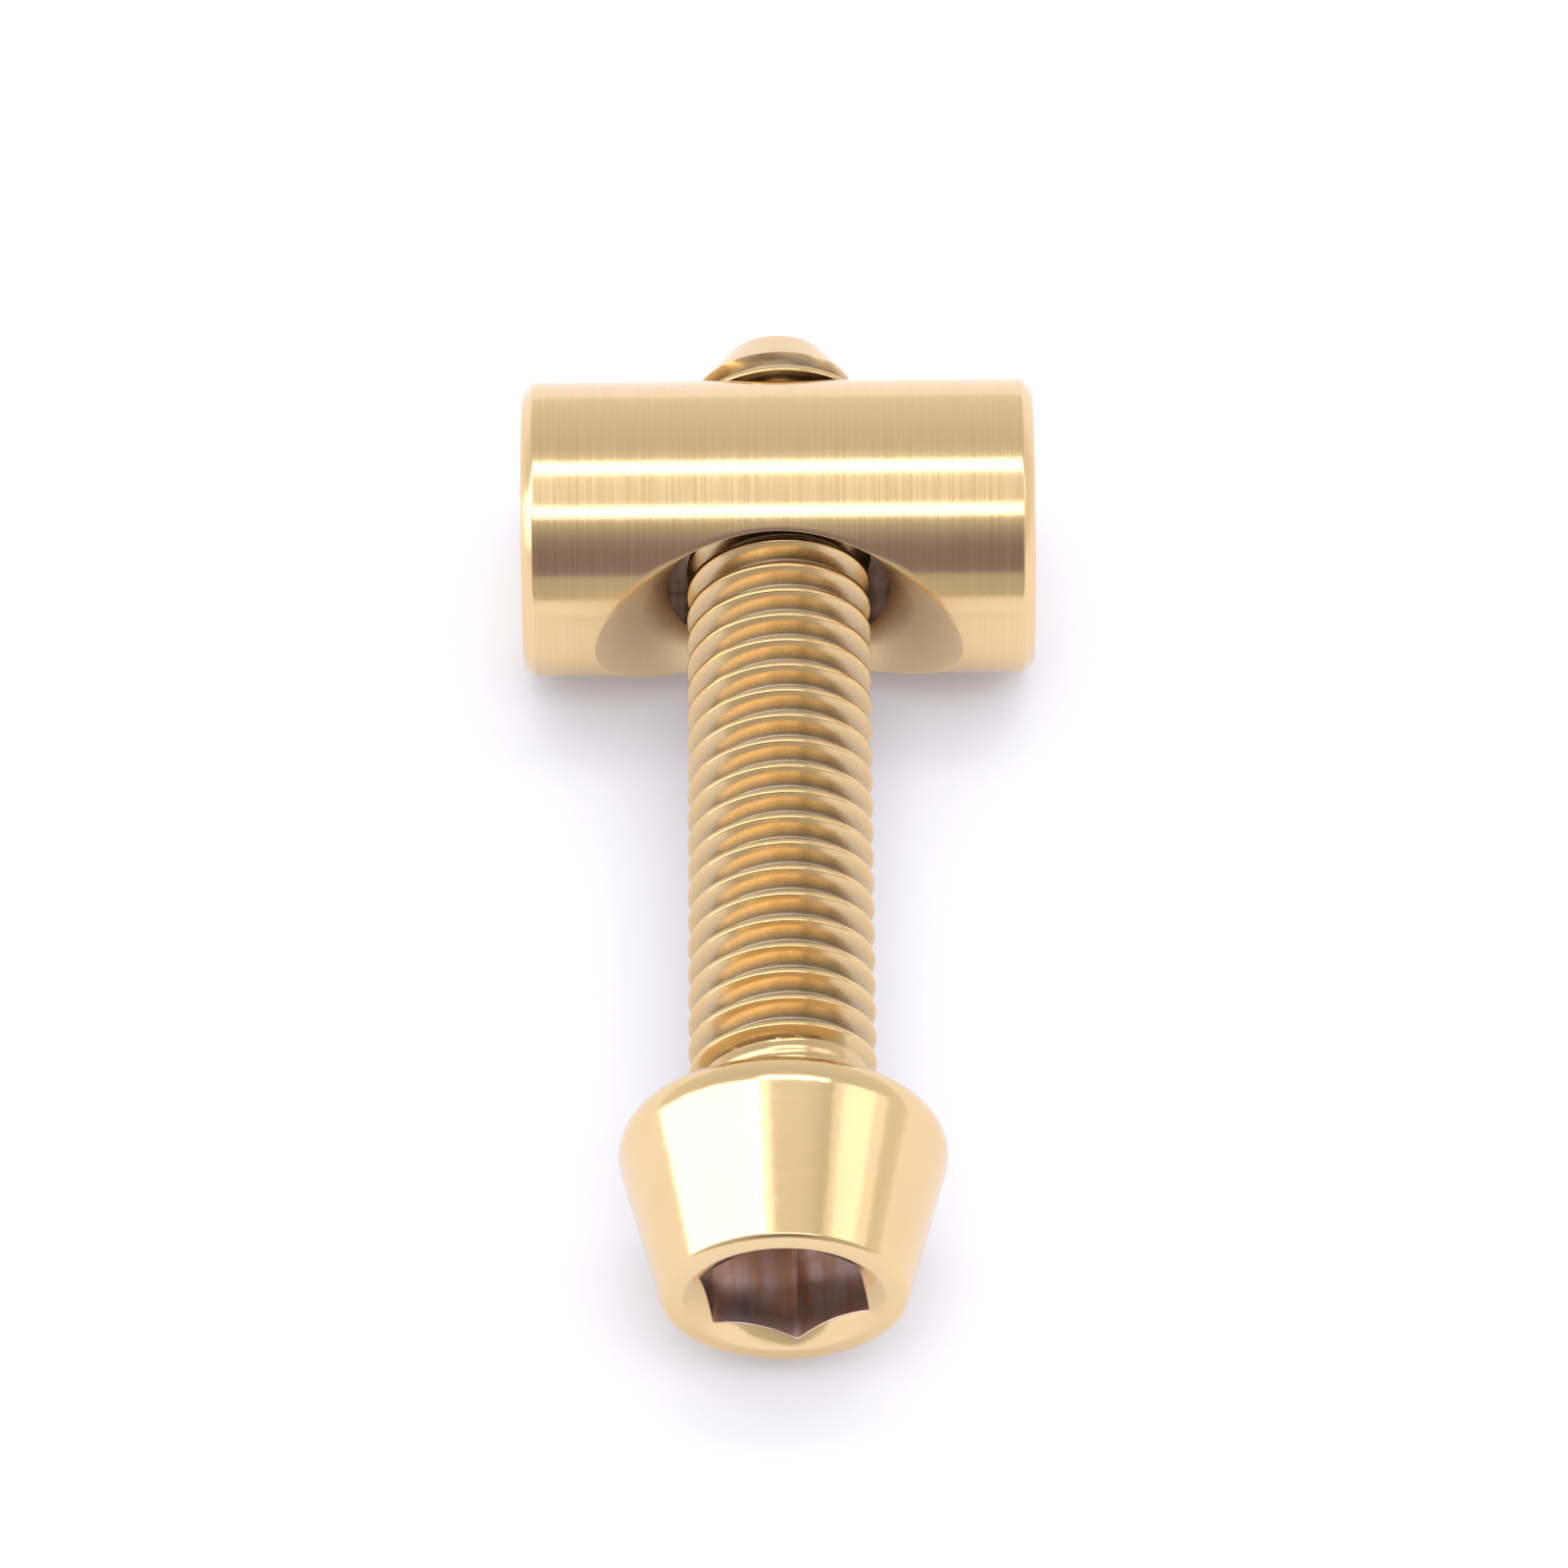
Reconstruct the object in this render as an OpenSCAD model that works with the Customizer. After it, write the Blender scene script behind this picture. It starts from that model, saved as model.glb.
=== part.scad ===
// Seat clamp bolt with its barrel nut. Sizes are in millimetres.
// The bolt lies along Y: the middle of the head's seat is at the origin, the head is toward -Y
// and the free end toward +Y. The barrel nut lies across the bolt, along X.

/* [Thread] */
// Diameter over the thread's crests
thread_d = 4.95; // [4:0.05:6]
// Pitch of the thread
thread_pitch = 0.8; // [0.5:0.05:1.25]
// Turns of thread that are left plain under the head
runout_turns = 1.9; // [1:0.1:3]
// Turns of thread that the tapered free end takes away
lead_turns = 1.9; // [1:0.1:3]
// Radial gap between the shank and the nut's hole
thread_clear = 0.05; // [0.02:0.01:0.15]

/* [Bolt] */
// Length from the head's seat to the free end
bolt_len = 24.4; // [22:0.1:30]
// How far the plain neck lies below the thread's crests
neck_drop = 0.28; // [0.05:0.01:0.4]
// Fillet between the neck and the head's seat
neck_fillet = 0.4; // [0.1:0.05:0.6]
// Diameter of the flat free end
tip_d = 2.8; // [2:0.1:3.5]
// Rounding of the free end's edge
tip_round = 0.15; // [0.05:0.05:0.3]

/* [Head] */
// Largest diameter of the head
head_d = 8.6; // [8:0.1:10]
// Diameter of the head's end face
end_d = 6.4; // [6:0.1:7]
// Height of the head
head_h = 5.15; // [4.5:0.05:6]
// Rounding of the shoulder between the taper and the seat
shoulder_round = 0.9; // [0.4:0.05:1.2]
// Rounding of the end face's edge
end_round = 0.2; // [0.05:0.05:0.3]

/* [Key socket] */
// Hexagon key that fits the socket, across its flats
key_size = 4; // [3:0.5:4]
// Gap between the key and the socket, over both flats
key_clear = 0.1; // [0.02:0.01:0.12]
// Depth of the hexagon
key_depth = 3; // [2:0.1:3.5]
// Diameter of the countersunk mouth at the end face
mouth_d = 5.3; // [4.8:0.1:5.4]
// Full angle of the countersunk mouth
mouth_angle = 120; // [100:5:150]
// Full angle of the drill's point under the hexagon
point_angle = 130; // [118:2:150]
// Turn of the hexagon about the bolt's axis, from a corner straight down
key_turn = 8; // [0:1:30]

/* [Barrel nut] */
// Distance from the head's seat to the barrel's axis
nut_at = 19; // [12:0.1:22]
// Diameter of the barrel
barrel_d = 8; // [7:0.1:10]
// Length of the barrel
barrel_len = 13.8; // [12:0.1:18]
// Chamfer at the barrel's ends
barrel_chamfer = 0.3; // [0.1:0.05:0.6]
// Width of the lead-in cone on the head's side, where it crosses the barrel's front line
front_mouth_d = 9.9; // [7:0.1:10.5]
// The same for the lead-in cone on the far side
back_mouth_d = 6.6; // [6.2:0.1:9]
// Full angle of both lead-in cones
lead_angle = 90; // [80:5:120]

/* [Hidden] */
gold = [0.86, 0.70, 0.42];
$fn = 96;
over = 0.5;
thread_r = thread_d / 2;
neck_r = thread_r - neck_drop;
neck_len = runout_turns * thread_pitch;
lead_len = lead_turns * thread_pitch;
head_r = head_d / 2;
end_r = end_d / 2;
barrel_r = barrel_d / 2;
bore_r = thread_r + thread_clear;
socket_r = (key_size + key_clear) / 2 / cos(30);

// Points of an arc round a centre, from one angle to another
function arc(centre, r, from, to, steps = 6) =
    [for (i = [0:steps]) centre + r * [cos(from + (to - from) * i / steps), sin(from + (to - from) * i / steps)]];

function unit(v) = v / norm(v);
function heading(v) = atan2(v.y, v.x);

// The corner b of an outline that goes from a over b to c, rounded with radius r
function rounded(a, b, c, r) =
    let (u = unit(a - b))
    let (v = unit(c - b))
    let (half = acos(u * v) / 2)
    let (reach = r / tan(half))
    let (centre = b + unit(u + v) * r / sin(half))
    let (from = heading(b + u * reach - centre))
    let (swing = heading(b + v * reach - centre) - from)
    arc(centre, r, from, from + swing - 360 * round(swing / 360));

// The head's taper runs from the end face's edge to where it meets the round shoulder
end_corner = [end_r, -head_h];
shoulder = [head_r - shoulder_round, -shoulder_round];
taper = heading(shoulder - end_corner) - asin(shoulder_round / norm(shoulder - end_corner));

// Half the bolt's section, as radius and place along the axis
function bolt_outline() = concat(
    [[0, -head_h]],
    rounded([0, -head_h], end_corner, end_corner + [cos(taper), sin(taper)], end_round),
    arc(shoulder, shoulder_round, taper - 90, 90, 10),
    rounded([head_r, 0], [neck_r, 0], [neck_r, neck_len], neck_fillet),
    [[neck_r, neck_len], [thread_r, neck_len + neck_drop]],
    [[thread_r, bolt_len - lead_len]],
    rounded([thread_r, bolt_len - lead_len], [tip_d / 2, bolt_len], [0, bolt_len], tip_round),
    [[0, bolt_len]]);

// Turns a form that stands on Z so that it lies along Y
module along_y() {
    rotate([-90, 0, 0])
        children();
}

// A cone that opens downward, with radius r at its base and drawn on below it by the overcut
module countersink(r, angle) {
    slope = tan(angle / 2);
    translate([0, 0, -over])
        cylinder(r1 = r + over * slope, r2 = 0, h = over + r / slope);
}

// The hexagon socket, from the end face inward
module key_socket() {
    rotate([0, 0, 90 - key_turn])
        translate([0, 0, -over])
            cylinder(r = socket_r, h = over + key_depth, $fn = 6);
    countersink(mouth_d / 2, mouth_angle);
    translate([0, 0, key_depth])
        cylinder(d1 = key_size, d2 = 0, h = key_size / 2 / tan(point_angle / 2));
}

module bolt() {
    color(gold)
        along_y()
            difference() {
                rotate_extrude()
                    polygon(bolt_outline());
                translate([0, 0, -head_h])
                    key_socket();
            }
}

// The barrel's round body with its chamfered ends
module barrel_body() {
    half = barrel_len / 2;
    rotate([0, 90, 0])
        rotate_extrude()
            polygon([
                [0, -half],
                [barrel_r - barrel_chamfer, -half],
                [barrel_r, barrel_chamfer - half],
                [barrel_r, half - barrel_chamfer],
                [barrel_r - barrel_chamfer, half],
                [0, half],
            ]);
}

// The cross hole, with a lead-in cone on each side
module cross_hole() {
    translate([0, 0, -barrel_r - over])
        cylinder(r = bore_r, h = barrel_d + 2 * over);
    translate([0, 0, -barrel_r])
        countersink(front_mouth_d / 2, lead_angle);
    translate([0, 0, barrel_r])
        rotate([180, 0, 0])
            countersink(back_mouth_d / 2, lead_angle);
}

module barrel_nut() {
    color(gold)
        translate([0, nut_at, 0])
            difference() {
                barrel_body();
                along_y()
                    cross_hole();
            }
}

bolt();
barrel_nut();
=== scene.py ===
"""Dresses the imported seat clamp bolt: a threaded bolt and barrel nut in gold-coated titanium, on a pale studio floor."""

import math

import bmesh
import bpy
from mathutils import Matrix, Vector


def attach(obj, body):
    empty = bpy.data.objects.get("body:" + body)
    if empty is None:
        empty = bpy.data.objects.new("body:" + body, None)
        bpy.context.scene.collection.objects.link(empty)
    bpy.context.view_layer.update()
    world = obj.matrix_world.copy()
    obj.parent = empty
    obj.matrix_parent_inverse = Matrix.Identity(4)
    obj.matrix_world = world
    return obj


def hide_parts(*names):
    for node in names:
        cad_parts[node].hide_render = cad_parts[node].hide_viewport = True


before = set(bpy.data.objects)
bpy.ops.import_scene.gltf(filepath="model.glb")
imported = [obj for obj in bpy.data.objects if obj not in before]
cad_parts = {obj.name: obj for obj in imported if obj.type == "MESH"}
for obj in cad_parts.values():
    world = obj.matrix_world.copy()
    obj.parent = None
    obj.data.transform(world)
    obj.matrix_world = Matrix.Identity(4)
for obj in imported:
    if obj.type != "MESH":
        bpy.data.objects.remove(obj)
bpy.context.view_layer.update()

bl_info = {
    "name": "Seat clamp bolt",
    "version": (1, 0, 0),
    "blender": (4, 5, 0),
    "location": "3D View > Sidebar > Seat bolt",
    "description": "Makes a gold-coated seat clamp bolt with its barrel nut, and a small studio round it",
    "category": "Object",
}

MM = 0.001
PHOTO_SIDE = 1600
SENSOR = 36.0
TURN_STEPS = 96
PATCH_SIDE = 48
PATCH_RINGS = 18
SHARP_ANGLE = math.radians(38)
# Places of the coats in the bolt's and the nut's lists of materials
POLISHED, ROLLED, THIN = 0, 1, 2
TURNED, BORE, SUNK = 0, 1, 2
# Name of the number at each vertex that sets its painted shade, from 0 to 1: darkest in the thread's roots and the
# cones' throats, lightest on the crests and the cones' rims
PAINTED_LIGHT = "painted_light"
# The same on the plain neck, which gets a little painted shade and a duller roughness than the crests
NECK_PAINTED_LIGHT = 0.8
# How many shallow marks the neck has, and how many rings of vertices draw them
NECK_MARKS = 3
NECK_RINGS = 24


def linear(code):
    """The linear colour of an sRGB hex code."""
    channels = [int(code[i : i + 2], 16) / 255 for i in (1, 3, 5)]
    return tuple(c / 12.92 if c <= 0.04045 else ((c + 0.055) / 1.055) ** 2.4 for c in channels)


def length(name, description, millimetres):
    """A length that a user can change, given in millimetres and kept in metres."""
    return bpy.props.FloatProperty(
        name=name, description=description, default=millimetres * MM, min=0.0, precision=6, unit="LENGTH"
    )


def colour(name, description, code):
    """A colour that a user can change, given as an sRGB hex code."""
    return bpy.props.FloatVectorProperty(
        name=name, description=description, default=linear(code), min=0.0, max=1.0, subtype="COLOR"
    )


class BoltSizes(bpy.types.PropertyGroup):
    """The bolt's sizes. The head's seat is at zero along the axis."""

    head_r: length("Head radius", "Largest radius of the head", 4.3)
    end_r: length("End face radius", "Radius of the head's end face, before its edge is rounded", 3.2)
    head_h: length("Head height", "From the seat to the end face", 5.15)
    shoulder_round: length("Shoulder", "Rounding between the head's taper and its seat", 0.9)
    end_round: length("End edge", "Rounding of the end face's edge", 0.2)
    neck_r: length("Neck radius", "Radius of the plain neck under the head", 2.195)
    neck_fillet: length("Neck fillet", "Rounding between the neck and the seat", 0.4)
    crest_r: length("Crest radius", "Radius over the thread's crests", 2.475)
    root_r: length("Root radius", "Radius at the bottom of the thread", 1.984)
    pitch: length("Pitch", "Distance between two crests", 0.8)
    crest_half: length("Crest flat", "Half the width of the flat on a crest", 0.065)
    crest_at: length("Crest", "Where a crest passes the top of the shank", 0.17)
    land_at: length("Land", "Where the neck starts to rise toward the thread", 0.5)
    land_r: length("Land radius", "Radius of the neck where the thread starts", 2.275)
    mark: length("Neck marks", "Depth of the shallow marks that the rolling has left round the neck", 0.006)
    groove_at: length("Groove", "Where the neck ends and the thread starts", 1.4)
    groove_full: length("Full groove", "Where the groove has its full depth", 1.54)
    end_at: length("Length", "From the seat to the free end", 24.4)
    lead: length("Lead-in", "Length of the tapered free end", 1.52)
    tip_r: length("Tip radius", "Radius of the flat free end", 1.4)
    tip_round: length("Tip edge", "Rounding of the free end's edge", 0.15)
    key_flats: length("Socket", "Hexagon socket across its flats", 4.1)
    key_depth: length("Socket depth", "Depth of the hexagon", 3.0)
    mouth_r: length("Socket mouth", "Radius of the socket's countersunk mouth", 2.65)
    mouth_angle: bpy.props.FloatProperty(
        name="Mouth angle", description="Full angle of the socket's mouth", default=math.radians(120), subtype="ANGLE"
    )
    point_r: length("Drill radius", "Radius of the drill's point under the hexagon", 2.0)
    point_h: length("Drill point", "Height of the drill's point", 0.93)
    edge: length("Broken edge", "Bevel along the socket's edges", 0.03)
    key_turn: bpy.props.FloatProperty(
        name="Socket turn", description="Turn of a corner from straight down", default=math.radians(8), subtype="ANGLE"
    )


class NutSizes(bpy.types.PropertyGroup):
    """The barrel nut's sizes."""

    at: length("Place", "From the head's seat to the barrel's axis", 19.0)
    barrel_r: length("Barrel radius", "Radius of the barrel", 4.0)
    half: length("Half length", "Half the barrel's length", 6.9)
    chamfer: length("Chamfer", "Chamfer at the barrel's ends", 0.3)
    front_mouth_r: length("Front mouth", "Radius of the lead-in cone at the barrel's front line", 4.95)
    back_mouth_r: length("Back mouth", "The same on the far side", 3.3)
    front_throat_r: length("Front throat", "Radius of the plain hole between that cone and the thread", 3.0)
    back_throat_r: length("Back throat", "The same on the far side", 2.59)
    front_throat: length("Throat length", "Length of the plain hole on the head's side", 1.0)
    crest_r: length("Inner crest", "Radius inside the nut's thread", 2.1)
    thread_gap: length("Thread gap", "Gap between the two threads' flanks", 0.035)
    seam: length("Seam", "Length of the strip of wall that joins the thread to the plain hole", 0.1)
    edge: length("Broken edge", "Bevel along the sharp edges", 0.035)


class GoldFinish(bpy.types.PropertyGroup):
    """The colours of the coat, and of the painted shade and painted light in the thread's roots and the cones."""

    pale: colour("Pale gold", "The coat at its palest", "#F0D3A2")
    deep: colour("Deep gold", "The coat at its deepest", "#E6C48E")
    # Painted shade at the bottom of the thread, darker than the coat; the nut's hole also takes it in its streaks
    root: colour("Root", "The coat at the bottom of the thread", "#9C907E")
    # Painted shade where the lead-in cones meet the hole
    throat: colour("Throat", "The coat where the lead-in cones meet the hole", "#BE9268")
    # Painted light at the cones' rims, paler than the coat
    rim: colour("Rim", "The coat at the rims of the lead-in cones", "#FFE6B6")
    bare: colour("Bare metal", "The metal inside the socket, which the coat hardly reaches", "#EAE8EE")
    burnt: colour("Burnt metal", "The same where the cutting has burnt it", "#DCB898")
    bore: colour("Bore", "The metal inside the nut's hole", "#C4B0A8")


class SeatBoltSettings(bpy.types.PropertyGroup):
    """Everything that a user would change."""

    bolt: bpy.props.PointerProperty(type=BoltSizes)
    nut: bpy.props.PointerProperty(type=NutSizes)
    gold: bpy.props.PointerProperty(type=GoldFinish)


# Nodes and materials


def add(tree, kind, links=None, **settings):
    """Adds one node: its settings by name, and each input either linked to a socket or set to a value."""
    node = tree.nodes.new(kind)
    for key, value in settings.items():
        setattr(node, key, value)
    for key, value in (links or {}).items():
        if isinstance(value, bpy.types.NodeSocket):
            tree.links.new(value, node.inputs[key])
        else:
            node.inputs[key].default_value = value
    return node


def new_material(name):
    """An empty node material."""
    material = bpy.data.materials.new(name)
    material.use_nodes = True
    material.node_tree.nodes.clear()
    return material, material.node_tree


def gold_surface(material, tree, coat, rough, height, depth, **grooves):
    """Finishes a coated metal from its colour, its roughness, its relief and the way its grooves run."""
    relief = add(tree, "ShaderNodeBump", {"Height": height, "Distance": depth})
    shader = add(
        tree,
        "ShaderNodeBsdfPrincipled",
        {"Base Color": coat, "Metallic": 1.0, "Roughness": rough, "Normal": relief.outputs["Normal"], **grooves},
    )
    add(tree, "ShaderNodeOutputMaterial", {"Surface": shader.outputs["BSDF"]})
    return material


def polished_gold(gold):
    """Titanium nitride on polished titanium: a warm mirror, blurred by buffing marks that run round the head.

    Shallow dents that the polish has left make the edges of each reflection a little wavy."""
    material, tree = new_material("gold_nitride_polished")
    place = add(tree, "ShaderNodeTexCoord").outputs["Object"]
    # The coat's colour drifts in soft clouds about 3 mm across
    clouds = add(tree, "ShaderNodeTexNoise", {"Vector": place, "Scale": 1 / (3 * MM), "Detail": 3.0})
    coat = add(
        tree,
        "ShaderNodeMix",
        {"Factor": clouds.outputs["Fac"], "A": (*gold.pale, 1), "B": (*gold.deep, 1)},
        data_type="RGBA",
    )
    # Buffing marks are 0.1 mm apart along the axis and drawn out round it
    along = add(tree, "ShaderNodeMapping", {"Vector": place, "Scale": (1.5, 10, 1.5)})
    marks = add(
        tree, "ShaderNodeTexNoise", {"Vector": along.outputs["Vector"], "Scale": 1 / (1 * MM), "Detail": 4.0}
    )
    rough = add(tree, "ShaderNodeMapRange", {"Value": marks.outputs["Fac"], "To Min": 0.08, "To Max": 0.21})
    # The dents are about 0.6 mm across
    dents = add(tree, "ShaderNodeTexNoise", {"Vector": place, "Scale": 1 / (0.6 * MM), "Detail": 2.0})
    return gold_surface(
        material, tree, coat.outputs["Result"], rough.outputs["Result"], dents.outputs["Fac"], 0.006 * MM
    )


def graded_gold(name, inner, outer, dull, bright, spread):
    """Titanium nitride on a rolled or sunk face, painted deeper as shade, and made duller, toward the thread's roots
    and the cones' throats.

    On the thread that gives bright crests over painted brown shade in the roots, and in the cones a painted dark
    throat."""
    material, tree = new_material(name)
    place = add(tree, "ShaderNodeTexCoord").outputs["Object"]
    painted_light = add(tree, "ShaderNodeAttribute", attribute_name=PAINTED_LIGHT)
    # The change from painted shade to the outer colour is over at that share of the painted-light value
    unshaded = add(tree, "ShaderNodeMapRange", {"Value": painted_light.outputs["Fac"], "From Max": spread})
    # The metal's grain, about 0.06 mm, frays the change by a quarter of its width
    grain = add(tree, "ShaderNodeTexNoise", {"Vector": place, "Scale": 1 / (0.06 * MM), "Detail": 3.0})
    uneven = add(tree, "ShaderNodeMapRange", {"Value": grain.outputs["Fac"], "To Min": -0.25, "To Max": 0.25})
    unshaded_and_grain = add(
        tree,
        "ShaderNodeMath",
        {0: unshaded.outputs["Result"], 1: uneven.outputs["Result"]},
        operation="ADD",
        use_clamp=True,
    )
    coat = add(
        tree,
        "ShaderNodeMix",
        {"Factor": unshaded_and_grain.outputs["Value"], "A": (*inner, 1), "B": (*outer, 1)},
        data_type="RGBA",
    )
    rough = add(tree, "ShaderNodeMapRange", {"Value": unshaded_and_grain.outputs["Value"], "To Min": dull, "To Max": bright})
    return gold_surface(
        material, tree, coat.outputs["Result"], rough.outputs["Result"], grain.outputs["Fac"], 0.001 * MM
    )


def turned_gold(gold):
    """Titanium nitride on a fine-turned barrel: rings round it that comb the edges of each reflection."""
    material, tree = new_material("gold_nitride_turned")
    place = add(tree, "ShaderNodeTexCoord").outputs["Object"]
    # The tool's rings are 0.06 mm apart, and none goes quite round
    along = add(tree, "ShaderNodeMapping", {"Vector": place, "Scale": (17, 0.25, 0.25)})
    rings = add(
        tree, "ShaderNodeTexNoise", {"Vector": along.outputs["Vector"], "Scale": 1 / (1 * MM), "Detail": 1.0}
    )
    coat = add(
        tree,
        "ShaderNodeMix",
        {"Factor": rings.outputs["Fac"], "A": (*gold.deep, 1), "B": (*gold.pale, 1)},
        data_type="RGBA",
    )
    rough = add(
        tree,
        "ShaderNodeMapRange",
        {"Value": rings.outputs["Fac"], "From Min": 0.3, "From Max": 0.7, "To Min": 0.15, "To Max": 0.215},
    )
    # The rings scatter light along the barrel and leave it sharp round it
    barrel_axis = add(tree, "ShaderNodeCombineXYZ", {"X": 1.0})
    return gold_surface(
        material,
        tree,
        coat.outputs["Result"],
        rough.outputs["Result"],
        rings.outputs["Fac"],
        0.0002 * MM,
        Anisotropic=0.75,
        Tangent=barrel_axis.outputs["Vector"],
    )


def thin_coat(name, bare, burnt):
    """Broached and drilled titanium where the coat hardly reaches: brown, dull and streaked along the cut."""
    material, tree = new_material(name)
    place = add(tree, "ShaderNodeTexCoord").outputs["Object"]
    # Chatter of the broach, 0.5 mm apart across the cut and long along it
    along = add(tree, "ShaderNodeMapping", {"Vector": place, "Scale": (1, 0.2, 1)})
    streaks = add(
        tree, "ShaderNodeTexNoise", {"Vector": along.outputs["Vector"], "Scale": 1 / (0.5 * MM), "Detail": 3.0}
    )
    heat = add(
        tree, "ShaderNodeMapRange", {"Value": streaks.outputs["Fac"], "From Min": 0.36, "From Max": 0.64}
    )
    coat = add(
        tree,
        "ShaderNodeMix",
        {"Factor": heat.outputs["Result"], "A": (*bare, 1), "B": (*burnt, 1)},
        data_type="RGBA",
    )
    rough = add(tree, "ShaderNodeMapRange", {"Value": streaks.outputs["Fac"], "To Min": 0.13, "To Max": 0.29})
    return gold_surface(
        material, tree, coat.outputs["Result"], rough.outputs["Result"], streaks.outputs["Fac"], 0.004 * MM
    )


# Shaping


def set_polar(vert, radius, along):
    """Puts a vertex at a radius from the bolt's axis and a place along it, at the angle that it has."""
    angle = math.atan2(vert.co.x, vert.co.z)
    vert.co = (radius * math.sin(angle), along, radius * math.cos(angle))


def rounded_wire(points, corners, segments):
    """A wire through points (along, radius), with the corners given as {index: setback} rounded."""
    bm = bmesh.new()
    verts = [bm.verts.new((0, along, radius)) for along, radius in points]
    for pair in zip(verts, verts[1:]):
        bm.edges.new(pair)
    for index, reach in corners.items():
        bmesh.ops.bevel(
            bm,
            geom=[verts[index]],
            offset=reach,
            offset_type="OFFSET",
            segments=segments,
            profile=0.5,
            affect="VERTICES",
            material=-1,
        )
    return bm


def rounded_points(points, corners, segments):
    """The places (along, radius) on such a wire in their order, for one that goes on and inward."""
    wire = rounded_wire(points, corners, segments)
    places = sorted(((v.co.y, v.co.z) for v in wire.verts), key=lambda place: place[0] - place[1])
    wire.free()
    return places


def setback(a, b, c, radius):
    """How far from the corner b a rounding of that radius starts on its sides to a and c."""
    u, v = Vector(a) - Vector(b), Vector(c) - Vector(b)
    return radius / math.tan(u.angle(v) / 2)


def pull(bm, loop, move):
    """Extrudes a loop of edges and moves the new vertices, and returns the new loop."""
    made = bmesh.ops.extrude_edge_only(bm, edges=loop)["geom"]
    verts = {v for v in made if isinstance(v, bmesh.types.BMVert)}
    for vert in verts:
        move(vert)
    return [e for e in made if isinstance(e, bmesh.types.BMEdge) and e.verts[0] in verts and e.verts[1] in verts]


def close(bm, loop, along):
    """Closes a loop round the axis with a point on it."""
    rim = {v for e in loop for v in e.verts}
    inner = {v for e in pull(bm, loop, lambda v: None) for v in e.verts} - rim
    bmesh.ops.pointmerge(bm, verts=list(inner), merge_co=(0, along, 0))


def broken(bm, edges, width):
    """Breaks sharp edges with a small rounded bevel."""
    bmesh.ops.bevel(
        bm,
        geom=edges,
        offset=width,
        offset_type="OFFSET",
        segments=2,
        profile=0.5,
        affect="EDGES",
        clamp_overlap=True,
        material=-1,
    )


def loop_at(bm, along, reach=1e-7):
    """The open edges that lie in the plane across the axis at that place."""
    return [e for e in bm.edges if e.is_boundary and all(abs(v.co.y - along) < reach for v in e.verts)]


def wind(bm, pitch, start_angle, low, high):
    """Winds a wire, which is one pitch of a thread's section at the top, into a right-hand tube past low and high."""
    bmesh.ops.rotate(bm, verts=bm.verts, cent=(0, 0, 0), matrix=Matrix.Rotation(start_angle, 3, "Y"))
    lowest = min(v.co.y for v in bm.verts)
    lead = pitch * start_angle / math.tau
    turns_down = math.ceil((lowest + lead - low) / pitch) + 1
    bmesh.ops.translate(bm, verts=bm.verts, vec=(0, lead - turns_down * pitch, 0))
    bmesh.ops.spin(
        bm,
        geom=bm.verts[:] + bm.edges[:],
        cent=(0, 0, 0),
        axis=(0, 1, 0),
        dvec=(0, pitch / TURN_STEPS, 0),
        angle=math.tau,
        steps=TURN_STEPS,
    )
    one_turn = bm.verts[:] + bm.edges[:] + bm.faces[:]
    for turn in range(1, math.ceil((high - low) / pitch) + 4):
        copy = bmesh.ops.duplicate(bm, geom=one_turn)["geom"]
        shifted = [v for v in copy if isinstance(v, bmesh.types.BMVert)]
        bmesh.ops.translate(bm, verts=shifted, vec=(0, turn * pitch, 0))
    bmesh.ops.remove_doubles(bm, verts=bm.verts, dist=pitch / 1000)


def cut(bm, along, drop_below=False, drop_above=False):
    """Cuts the mesh across the axis, and drops what lies on a side that isn't wanted."""
    bmesh.ops.bisect_plane(
        bm,
        geom=bm.verts[:] + bm.edges[:] + bm.faces[:],
        dist=1e-9,
        plane_co=(0, along, 0),
        plane_no=(0, 1, 0),
        clear_inner=drop_below,
        clear_outer=drop_above,
    )
    for vert in bm.verts:
        if abs(vert.co.y - along) < 1e-8:
            vert.co.y = along


def thread_wire(low_r, high_r, pitch, crest_at, crest_half, rounding):
    """One pitch of a 60 degree thread, from root to root, with its corners rounded as far back as given."""
    flank = (high_r - low_r) * math.tan(math.radians(30))
    points = [
        (crest_at - pitch / 2, low_r),
        (crest_at - crest_half - flank, low_r),
        (crest_at - crest_half, high_r),
        (crest_at + crest_half, high_r),
        (crest_at + crest_half + flank, low_r),
        (crest_at + pitch / 2, low_r),
    ]
    root, crest = rounding
    return rounded_wire(points, {1: root, 2: crest, 3: crest, 4: root}, 4)


def append(bm, other):
    """Moves another mesh's geometry into this one."""
    scratch = bpy.data.meshes.new("scratch")
    other.to_mesh(scratch)
    other.free()
    bm.from_mesh(scratch)
    bpy.data.meshes.remove(scratch)


def smooth_step(value, low, high):
    """0 below low, 1 above high and an easy slope between."""
    t = min(max((value - low) / (high - low), 0.0), 1.0)
    return t * t * (3 - 2 * t)


def finished(bm, name, materials, body, node):
    """Closes the mesh's shading, makes the object, and puts it on its body in place of the node."""
    bmesh.ops.recalc_face_normals(bm, faces=bm.faces)
    open_edges = [e for e in bm.edges if not e.is_manifold]
    if open_edges:
        raise RuntimeError(f"{name} has {len(open_edges)} open edges, near {open_edges[0].verts[0].co[:]}")
    for face in bm.faces:
        face.smooth = True
    for edge in bm.edges:
        edge.smooth = edge.calc_face_angle(0.0) < SHARP_ANGLE
    mesh = bpy.data.meshes.new(name)
    bm.to_mesh(mesh)
    bm.free()
    for material in materials:
        mesh.materials.append(material)
    piece = bpy.data.objects.new(name, mesh)
    bpy.context.scene.collection.objects.link(piece)
    weighted = piece.modifiers.new("even shading", "WEIGHTED_NORMAL")
    weighted.keep_sharp = True
    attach(piece, body)
    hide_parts(node)
    return piece


# The bolt


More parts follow.
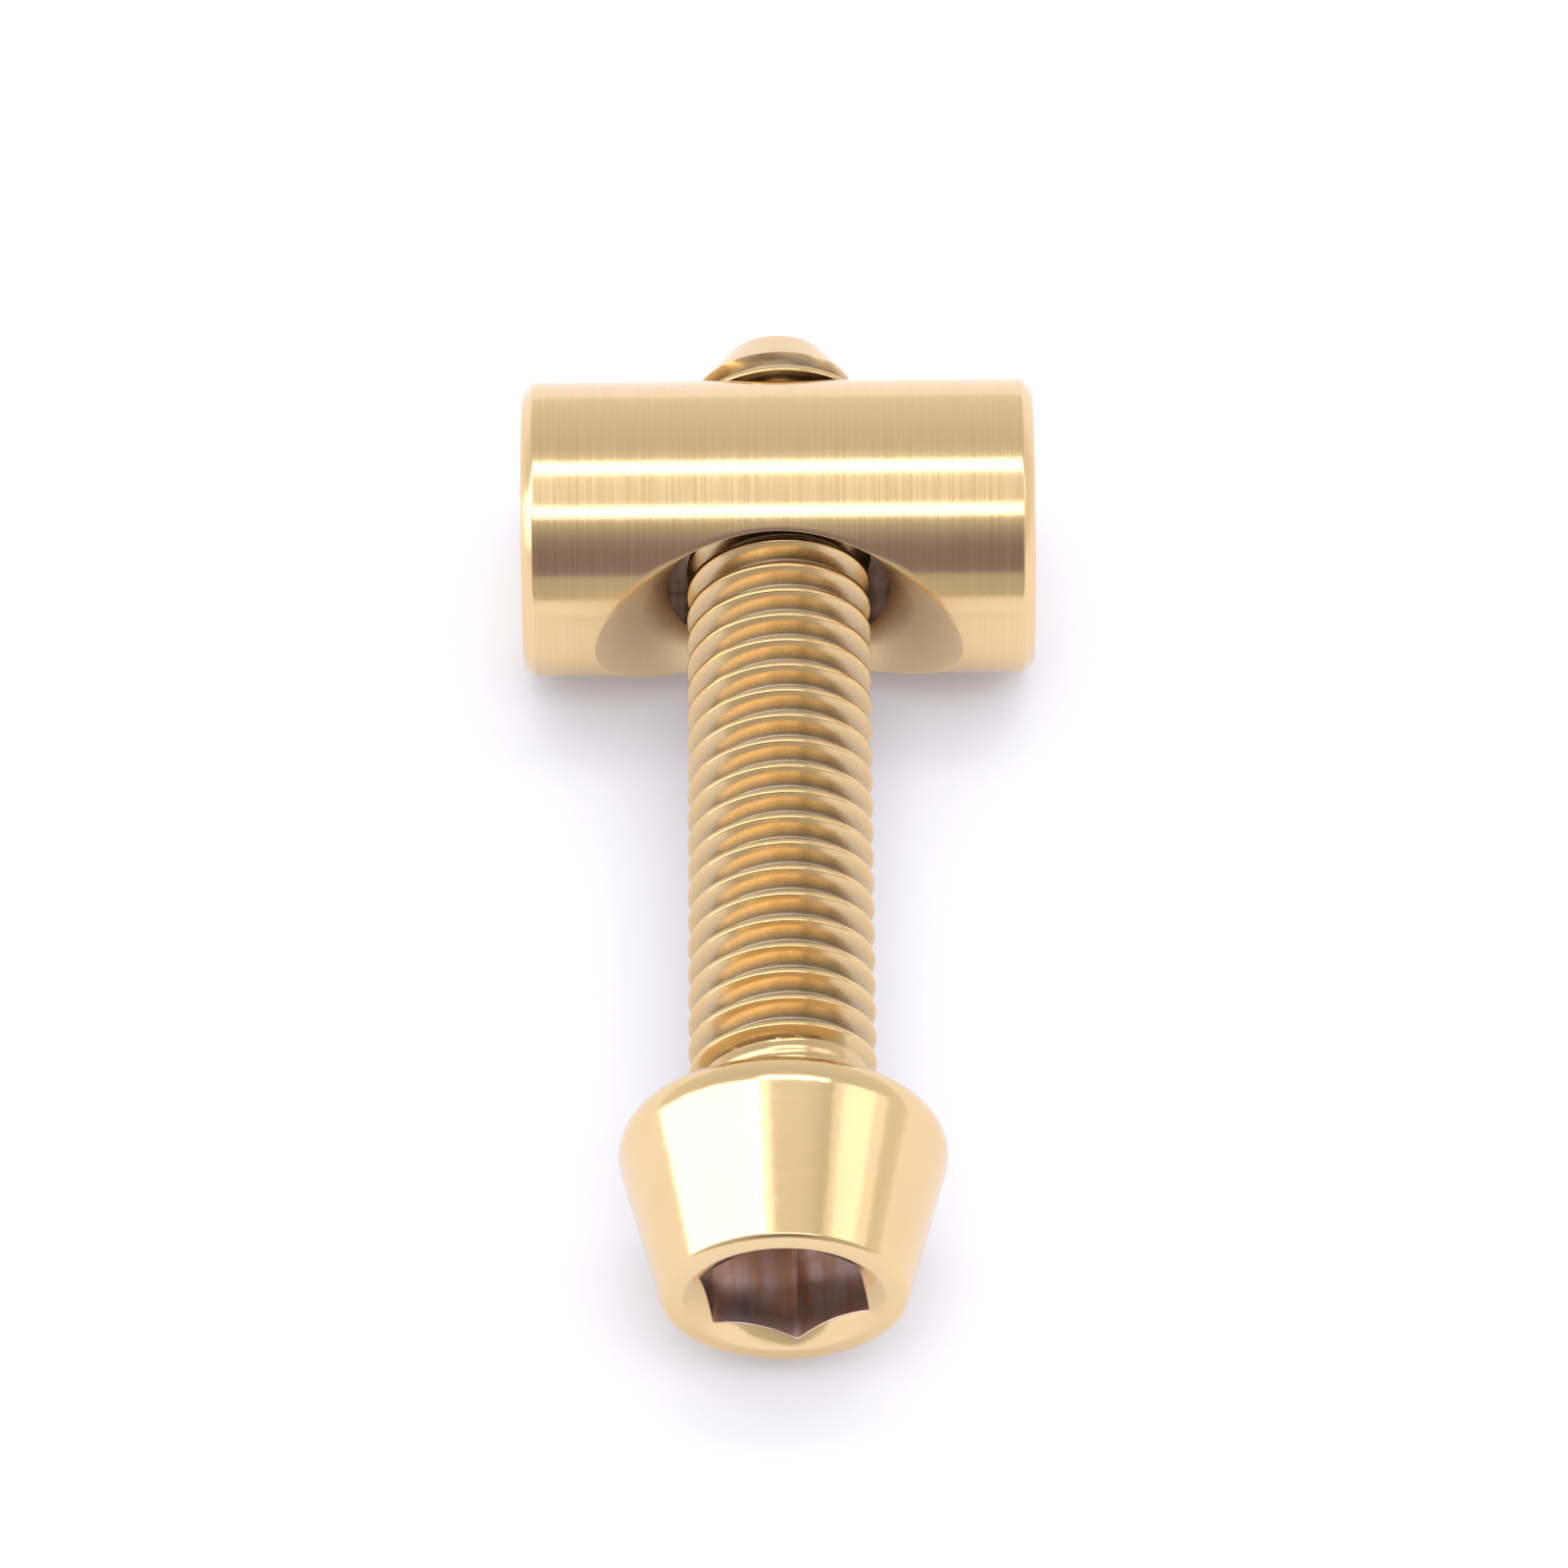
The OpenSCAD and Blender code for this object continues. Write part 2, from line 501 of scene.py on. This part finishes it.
def turned_head(s, start, neck_top):
    """Turns the head and the start of the neck from their outline."""
    centre = Vector((s.head_r - s.shoulder_round, -s.shoulder_round))
    reach = centre - Vector((s.end_r, -s.head_h))
    slope = math.atan2(reach.y, reach.x) - math.asin(s.shoulder_round / reach.length)
    # Where the taper's line would meet the plane of the seat
    seat_r = s.end_r + s.head_h / math.tan(slope)
    points = [(-s.head_h, s.mouth_r), (-s.head_h, s.end_r), (0, seat_r), (0, s.neck_r), (neck_top, s.neck_r)]
    rounds = {1: s.end_round, 2: s.shoulder_round, 3: s.neck_fillet}
    corners = {i: setback(*points[i - 1 : i + 2], r) for i, r in rounds.items()}
    bm = rounded_wire(points, corners, 8)
    bmesh.ops.rotate(bm, verts=bm.verts, cent=(0, 0, 0), matrix=Matrix.Rotation(start, 3, "Y"))
    bmesh.ops.spin(
        bm,
        geom=bm.verts[:] + bm.edges[:],
        cent=(0, 0, 0),
        axis=(0, 1, 0),
        angle=math.tau,
        steps=TURN_STEPS,
        use_merge=True,
    )
    return bm


def sink_socket(bm, s, start):
    """Pulls the mouth's ring inward into the countersunk hexagon socket with its drill point."""
    flat = s.key_flats / 2
    slope = math.tan(s.mouth_angle / 2)
    floor = -s.head_h + s.key_depth
    outside = set(bm.faces)

    def flat_r(vert):
        angle = math.atan2(vert.co.x, vert.co.z) - start
        return flat / math.cos(angle % math.radians(60) - math.radians(30))

    mouth = loop_at(bm, -s.head_h)
    edge = pull(bm, mouth, lambda v: set_polar(v, flat_r(v), (s.mouth_r - flat_r(v)) / slope - s.head_h))
    loop = pull(bm, edge, lambda v: set_polar(v, flat_r(v), floor))
    loop = pull(bm, loop, lambda v: set_polar(v, s.point_r, floor))
    close(bm, loop, floor + s.point_h)
    for face in bm.faces:
        if face not in outside:
            face.material_index = THIN
    for face in {f for e in mouth for f in e.link_faces}:
        face.material_index = POLISHED
    broken(bm, mouth + edge, s.edge)


def shank(s, start, low):
    """Winds the shank's thread, lets its groove run out into the neck and trims it to the tapered free end."""
    root_set = 0.9 * (s.pitch / 2 - s.crest_half - (s.crest_r - s.root_r) * math.tan(math.radians(30)))
    bm = thread_wire(s.root_r, s.crest_r, s.pitch, s.crest_at, s.crest_half, (root_set, 0.6 * s.crest_half))
    painted_light = bm.verts.layers.float.new(PAINTED_LIGHT)
    wind(bm, s.pitch, start, low, s.end_at)
    last = s.end_at - s.tip_round
    for ring in range(1, NECK_RINGS):
        cut(bm, low + (s.groove_at + s.pitch / 4 - low) * ring / NECK_RINGS)

    def cone_r(along):
        return s.tip_r + (s.crest_r - s.tip_r) * (s.end_at - along) / s.lead

    def unwound(place):
        # The run-out leans with the helix: it is a quarter of a pitch further on at the right and back at the left
        return place.y - s.pitch / 4 * place.x / math.hypot(place.x, place.z)

    for vert in bm.verts:
        along = vert.co.y
        radius = math.hypot(vert.co.x, vert.co.z)
        level = unwound(vert.co)
        risen = min(max((level - s.land_at) / (s.groove_at - s.land_at), 0.0), 1.0)
        land = s.neck_r + (s.land_r - s.neck_r) * smooth_step(risen, 0.0, 1.0)
        land += s.mark * math.sin(math.tau * NECK_MARKS * risen)
        shallow = land + (s.root_r - land) * smooth_step(level, s.groove_at, s.groove_full)
        widest = land + (s.crest_r - land) * smooth_step(level, s.groove_at, s.groove_full)
        kept = min(max(radius, shallow), widest, cone_r(along))
        # Painted shade: the colour darkens by radius from the crests down into the roots, and the plain neck takes a
        # little of it
        if level < s.groove_at:
            vert[painted_light] = NECK_PAINTED_LIGHT
        else:
            vert[painted_light] = 1.0 if kept < radius else (kept - s.root_r) / (s.crest_r - s.root_r)
        set_polar(vert, kept, along)
    cut(bm, low, drop_below=True)
    cut(bm, last, drop_above=True)
    loop = loop_at(bm, last)
    for vert in {v for e in loop for v in e.verts}:
        set_polar(vert, cone_r(last), last)
    points = [(last, cone_r(last)), (s.end_at, s.tip_r), (s.end_at, s.tip_r / 2)]
    for along, radius in rounded_points(points, {1: setback(*points, s.tip_round)}, 4)[1:]:
        loop = pull(bm, loop, lambda v: set_polar(v, radius, along))
    close(bm, loop, s.end_at)
    for face in bm.faces:
        face.material_index = ROLLED
    return bm


class SEATBOLT_OT_bolt(bpy.types.Operator):
    """Make the bolt: turned head, hexagon socket, rolled thread and tapered free end"""

    bl_idname = "seat_bolt.bolt"
    bl_label = "Make bolt"

    def execute(self, context):
        settings = context.scene.seat_bolt
        s = settings.bolt
        # The turning starts at a corner of the hexagon, so that a ring of vertices falls on each corner
        start = math.pi - s.key_turn
        neck_top = s.neck_fillet + 0.02 * MM
        low = neck_top + 0.06 * MM
        bm = turned_head(s, start, neck_top)
        sink_socket(bm, s, start)
        append(bm, shank(s, start, low))
        bmesh.ops.bridge_loops(bm, edges=loop_at(bm, neck_top) + loop_at(bm, low))
        gold = settings.gold
        # The thread runs from the roots' painted shade to the deep gold on its crests
        rolled = graded_gold("gold_nitride_rolled", gold.root, gold.deep, 0.32, 0.14, 1.0)
        coats = [polished_gold(gold), rolled, thin_coat("gold_nitride_broached", gold.bare, gold.burnt)]
        finished(bm, "clamp_bolt", coats, "bolt", "bolt")
        return {"FINISHED"}


# The barrel nut


def mouth_radius(n, mouth_r, least, angle):
    """How far from the hole's axis the lead-in cone or else the hole meets the barrel, at an angle round the hole."""
    low, high = 0.0, mouth_r
    for _ in range(60):
        radius = (low + high) / 2
        height = radius * math.sin(angle)
        depth = n.barrel_r - math.sqrt(max(n.barrel_r**2 - height**2, 0.0))
        if abs(height) < n.barrel_r and radius < mouth_r - depth:
            low = radius
        else:
            high = radius
    return max(low, least)


def barrel_side(bm, n, side, mouth_r, least):
    """One half of the barrel's skin, from the rim of its lead-in cone to the lines where the halves meet.

    The skin is laid out flat, so that a place is (along the barrel, arc from the middle line)."""
    edge_x = n.half - n.chamfer - n.edge
    edge_arc = n.barrel_r * math.pi / 2
    number = bm.verts.layers.int.get("number") or bm.verts.layers.int.new("number")
    circle = bmesh.ops.create_circle(bm, segments=4 * PATCH_SIDE, radius=n.barrel_r)["verts"]
    border, rim = [], []
    for i in range(len(circle)):
        part, step = divmod(i, PATCH_SIDE)
        t = 2 * step / PATCH_SIDE - 1
        x, arc = ((edge_x, edge_arc * t), (-edge_x * t, edge_arc), (-edge_x, -edge_arc * t), (edge_x * t, -edge_arc))[part]
        angle = math.atan2(arc, x)
        radius = mouth_radius(n, mouth_r, least, angle)
        border.append(Vector((x, arc)))
        rim.append(Vector((radius * math.cos(angle), n.barrel_r * math.asin(radius * math.sin(angle) / n.barrel_r))))

    def lay(vert, share):
        x, arc = rim[vert[number]].lerp(border[vert[number]], share)
        turn = arc / n.barrel_r
        vert.co = (x, n.at + side * n.barrel_r * math.cos(turn), n.barrel_r * math.sin(turn))

    for i, vert in enumerate(circle):
        vert[number] = i
        lay(vert, 0.0)
    inner = list({e for v in circle for e in v.link_edges})
    loop = inner
    for ring in range(1, PATCH_RINGS + 1):
        loop = pull(bm, loop, lambda v: lay(v, ring / PATCH_RINGS))
    return inner


def barrel_end(bm, n, side):
    """Chamfers one end of the barrel, with the chamfer's edges broken, and closes it."""
    start = n.half - n.chamfer - n.edge
    inner_r = n.barrel_r - n.chamfer
    points = [(start, n.barrel_r), (n.half - n.chamfer, n.barrel_r), (n.half, inner_r), (n.half, inner_r - n.edge)]

    def turned(vert, x, radius):
        spoke = Vector((vert.co.y - n.at, vert.co.z)).normalized() * radius
        vert.co = (side * x, n.at + spoke.x, spoke.y)

    loop = [e for e in bm.edges if e.is_boundary and all(abs(v.co.x - side * start) < 1e-7 for v in e.verts)]
    for x, radius in rounded_points(points, {1: n.edge, 2: n.edge}, 3)[1:]:
        loop = pull(bm, loop, lambda v: turned(v, x, radius))
    bmesh.ops.edgeloop_fill(bm, edges=loop)


def nut_thread(s, n, low, high):
    """Winds the nut's inner thread, with a flat ring at each end as wide as the plain hole there."""
    groove_r = s.crest_r + n.thread_gap
    groove_half = s.crest_half + n.thread_gap
    bm = thread_wire(n.crest_r, groove_r, s.pitch, s.crest_at, groove_half, (0.02 * MM, 0.02 * MM))
    wind(bm, s.pitch, 0.0, low, high)
    back = n.at + n.barrel_r - n.back_mouth_r
    for vert in bm.verts:
        along = vert.co.y
        radius = math.hypot(vert.co.x, vert.co.z)
        set_polar(vert, max(radius, along - back), along)
    cut(bm, low, drop_below=True)
    cut(bm, high, drop_above=True)
    for place, throat_r in ((low, n.front_throat_r), (high, n.back_throat_r)):
        pull(bm, loop_at(bm, place), lambda v: set_polar(v, throat_r, place))
    for face in bm.faces:
        face.material_index = BORE
    return bm


class SEATBOLT_OT_barrel_nut(bpy.types.Operator):
    """Make the barrel nut: turned barrel with chamfered ends and a threaded cross hole with lead-in cones"""

    bl_idname = "seat_bolt.barrel_nut"
    bl_label = "Make barrel nut"

    def execute(self, context):
        settings = context.scene.seat_bolt
        s, n = settings.bolt, settings.nut
        bm = bmesh.new()
        painted_light = bm.verts.layers.float.new(PAINTED_LIGHT)
        low = n.at - n.barrel_r + n.front_mouth_r - n.front_throat_r + n.front_throat
        high = n.at + math.sqrt(n.barrel_r**2 - (n.back_throat_r + n.edge) ** 2) - 2 * n.edge
        sides = ((-1, n.front_mouth_r, n.front_throat_r, low), (1, n.back_mouth_r, n.back_throat_r, high))
        edges = []
        for side, mouth_r, throat_r, throat in sides:

            def down_the_cone(vert):
                sunk = math.hypot(vert.co.x, vert.co.z) - throat_r
                set_polar(vert, throat_r, vert.co.y - side * sunk)
                # The throat takes the full painted shade
                vert[painted_light] = 0.0

            rim = barrel_side(bm, n, side, mouth_r, throat_r + n.edge)
            # The cones' rims take the painted light
            for vert in {v for e in rim for v in e.verts}:
                vert[painted_light] = 1.0
            skin = set(bm.faces)
            ring = pull(bm, rim, down_the_cone)
            cone = set(bm.faces) - skin
            pull(bm, ring, lambda v: set_polar(v, throat_r, throat))
            for face in set(bm.faces) - skin:
                face.material_index = SUNK if face in cone else BORE
            edges += rim
        bmesh.ops.remove_doubles(bm, verts=bm.verts, dist=0.001 * MM)
        broken(bm, edges, 0.8 * n.edge)
        for side in (-1, 1):
            barrel_end(bm, n, side)
        append(bm, nut_thread(s, n, low + n.seam, high - n.seam))
        for throat, end in ((low, low + n.seam), (high, high - n.seam)):
            wall = bmesh.ops.bridge_loops(bm, edges=loop_at(bm, throat) + loop_at(bm, end))["faces"]
            for face in wall:
                face.material_index = BORE
        gold = settings.gold
        # The cones run from painted shade at the throat to painted light at the rim
        sunk = graded_gold("gold_nitride_sunk", gold.throat, gold.rim, 0.48, 0.36, 0.38)
        coats = [turned_gold(gold), thin_coat("gold_nitride_drilled", gold.bore, gold.root), sunk]
        finished(bm, "barrel_nut_turned", coats, "nut", "barrel_nut")
        return {"FINISHED"}


# The studio


class SEATBOLT_OT_stage(bpy.types.Operator):
    """Make the studio: pale floor, soft lamps, surroundings and the camera"""

    bl_idname = "seat_bolt.stage"
    bl_label = "Make studio"

    def execute(self, context):
        scene = context.scene
        settings = scene.seat_bolt
        scene.view_settings.view_transform = "Standard"
        self.floor(settings)
        self.surroundings(scene)
        self.lamps()
        self.camera(scene)
        return {"FINISHED"}

    def floor(self, settings):
        """A sheet of white paper, which touches the head and the barrel as they lie."""
        s, n = settings.bolt, settings.nut
        head_y = -s.shoulder_round
        tilt = math.asin((s.head_r - n.barrel_r) / (n.at - head_y))
        bm = bmesh.new()
        bmesh.ops.create_grid(bm, x_segments=1, y_segments=1, size=1.5)
        bmesh.ops.rotate(bm, verts=bm.verts, cent=(0, 0, 0), matrix=Matrix.Rotation(tilt, 3, "X"))
        bmesh.ops.translate(bm, verts=bm.verts, vec=(0, head_y, -s.head_r / math.cos(tilt)))
        mesh = bpy.data.meshes.new("floor")
        bm.to_mesh(mesh)
        bm.free()
        material, tree = new_material("white_paper")
        # Seen straight the paper is lifted toward white, and in the metal not quite as far, and it keeps its shadows
        rays = add(tree, "ShaderNodeLightPath").outputs
        mirrored = add(tree, "ShaderNodeMath", {0: rays["Is Glossy Ray"], 1: 0.7}, operation="MULTIPLY")
        seen = add(
            tree, "ShaderNodeMath", {0: rays["Is Camera Ray"], 1: mirrored.outputs["Value"]}, operation="MAXIMUM"
        )
        lift = add(tree, "ShaderNodeMath", {0: seen.outputs["Value"], 1: 0.16}, operation="MULTIPLY")
        glow = add(tree, "ShaderNodeEmission", {"Color": (*linear("#E4E8FF"), 1), "Strength": lift.outputs["Value"]})
        sheet = add(tree, "ShaderNodeBsdfDiffuse", {"Color": (*linear("#E6E7EF"), 1)})
        both = add(tree, "ShaderNodeAddShader", {0: sheet.outputs["BSDF"], 1: glow.outputs["Emission"]})
        add(tree, "ShaderNodeOutputMaterial", {"Surface": both.outputs["Shader"]})
        mesh.materials.append(material)
        floor = bpy.data.objects.new("floor", mesh)
        bpy.context.scene.collection.objects.link(floor)

    def surroundings(self, scene):
        """A white room that is dimmer in front, with a dark place above the front where the camera stands."""
        world = bpy.data.worlds.new("studio")
        world.use_nodes = True
        scene.world = world
        tree = world.node_tree
        tree.nodes.clear()
        way = add(tree, "ShaderNodeTexCoord").outputs["Generated"]
        rise = math.radians(30)
        near = add(
            tree, "ShaderNodeVectorMath", {0: way, 1: (0, -math.cos(rise), math.sin(rise))}, operation="DOT_PRODUCT"
        )
        spot = add(
            tree,
            "ShaderNodeMapRange",
            {
                "Value": near.outputs["Value"],
                "From Min": math.cos(math.radians(32)),
                "From Max": math.cos(math.radians(6)),
            },
            interpolation_type="SMOOTHSTEP",
        )
        parts = add(tree, "ShaderNodeSeparateXYZ", {"Vector": way}).outputs
        sill = add(
            tree,
            "ShaderNodeMapRange",
            {
                "Value": parts["Z"],
                "From Min": math.sin(math.radians(18.5)),
                "From Max": math.sin(math.radians(19.5)),
            },
        )
        shade = add(
            tree, "ShaderNodeMath", {0: spot.outputs["Result"], 1: sill.outputs["Result"]}, operation="MULTIPLY"
        )
        hue = add(
            tree,
            "ShaderNodeMix",
            {"Factor": shade.outputs["Value"], "A": (0.99, 0.99, 1.0, 1), "B": (0.5, 0.42, 0.57, 1)},
            data_type="RGBA",
        )
        front = add(
            tree,
            "ShaderNodeMapRange",
            {"Value": parts["Y"], "From Min": -0.9, "From Max": 0.1, "To Min": 0.66, "To Max": 1.0},
        )
        walls = add(
            tree, "ShaderNodeMapRange", {"Value": parts["Z"], "From Max": 0.82, "To Min": 0.93, "To Max": 0.72}
        )
        ceiling = add(
            tree,
            "ShaderNodeMapRange",
            {"Value": parts["Z"], "From Min": 0.84, "From Max": 0.99, "To Max": 0.22},
            interpolation_type="SMOOTHSTEP",
        )
        room = add(
            tree, "ShaderNodeMath", {0: walls.outputs["Result"], 1: ceiling.outputs["Result"]}, operation="ADD"
        )
        room = add(
            tree, "ShaderNodeMath", {0: room.outputs["Value"], 1: front.outputs["Result"]}, operation="MULTIPLY"
        )
        light = add(
            tree, "ShaderNodeBackground", {"Color": hue.outputs["Result"], "Strength": room.outputs["Value"]}
        )
        add(tree, "ShaderNodeOutputWorld", {"Surface": light.outputs["Background"]})

    def lamps(self):
        """Soft boxes over the part, each leaned to the front or back and to a side, and as bright as it looks."""
        aim = Matrix.Translation((0, 9.5 * MM, 0))
        boxes = {
            # name: lean back, lean right, distance, shift right, width, depth, brightness, lights metal, lights paper
            "strip_behind": (15.3, 0, 0.8, 0.12, 0.66, 0.14, 2.6, True, True),
            "strip_before": (-20.0, 0, 0.8, 0.12, 0.66, 0.125, 2.6, True, True),
            "window_left": (0, -52.5, 0.6, 0.0, 0.9, 0.33, 2.2, True, False),
            "window_edge": (0, -14, 0.6, 0.0, 0.12, 0.33, 0.7, True, True),
            "card_right": (0, 54, 0.6, 0.0, 0.44, 0.3, 0.4, True, True),
            "card_right_core": (0, 52, 0.6, 0.0, 0.24, 0.3, 0.5, True, True),
            "fill_over": (0, 0, 0.9, 0.0, 1.6, 1.6, 0.72, False, True),
        }
        for name, (back, right, distance, shift, width, depth, bright, metal, paper) in boxes.items():
            data = bpy.data.lights.new(name, "AREA")
            data.shape = "RECTANGLE"
            data.size, data.size_y = width, depth
            data.energy = bright * math.pi * width * depth
            lamp = bpy.data.objects.new(name, data)
            lamp.visible_glossy = metal
            lamp.visible_diffuse = paper
            lean = Matrix.Rotation(math.radians(right), 4, "Y") @ Matrix.Rotation(math.radians(-back), 4, "X")
            lamp.matrix_world = aim @ lean @ Matrix.Translation((shift, 0, distance))
            bpy.context.scene.collection.objects.link(lamp)

    def camera(self, scene):
        """The photograph's view, from above the head and a little way off."""
        rise, roll = math.radians(57.3), math.radians(-0.5)
        distance = 290 * MM
        pixels_per_metre = 38.2 / MM
        aim = Vector((0.1 * MM, 10.74 * MM, 0))
        back = Vector((0, -math.cos(rise), math.sin(rise)))
        right = Vector((1, 0, 0))
        up = back.cross(right)
        across = right * math.cos(roll) + up * math.sin(roll)
        over = up * math.cos(roll) - right * math.sin(roll)
        data = bpy.data.cameras.new("camera")
        data.sensor_width = SENSOR
        data.lens = SENSOR * pixels_per_metre * distance / PHOTO_SIDE
        data.clip_start = 0.01
        camera = bpy.data.objects.new("camera", data)
        place = Matrix((across, over, back)).transposed().to_4x4()
        place.translation = aim + back * distance
        camera.matrix_world = place
        scene.collection.objects.link(camera)
        scene.camera = camera


class SEATBOLT_PT_panel(bpy.types.Panel):
    """The seat bolt's panel in the sidebar"""

    bl_label = "Seat bolt"
    bl_idname = "SEATBOLT_PT_panel"
    bl_space_type = "VIEW_3D"
    bl_region_type = "UI"
    bl_category = "Seat bolt"

    def draw(self, context):
        settings = context.scene.seat_bolt
        for group in (settings.bolt, settings.nut, settings.gold):
            box = self.layout.box()
            for name in group.__annotations__:
                box.prop(group, name)
        for operator in OPERATORS:
            self.layout.operator(operator.bl_idname)


GROUPS = (BoltSizes, NutSizes, GoldFinish, SeatBoltSettings)
OPERATORS = (SEATBOLT_OT_bolt, SEATBOLT_OT_barrel_nut, SEATBOLT_OT_stage)
CLASSES = GROUPS + OPERATORS + (SEATBOLT_PT_panel,)


def register():
    for cls in CLASSES:
        bpy.utils.register_class(cls)
    bpy.types.Scene.seat_bolt = bpy.props.PointerProperty(type=SeatBoltSettings)


def unregister():
    del bpy.types.Scene.seat_bolt
    for cls in reversed(CLASSES):
        bpy.utils.unregister_class(cls)


def main():
    register()
    bpy.ops.seat_bolt.bolt()
    bpy.ops.seat_bolt.barrel_nut()
    bpy.ops.seat_bolt.stage()


if __name__ == "__main__":
    main()
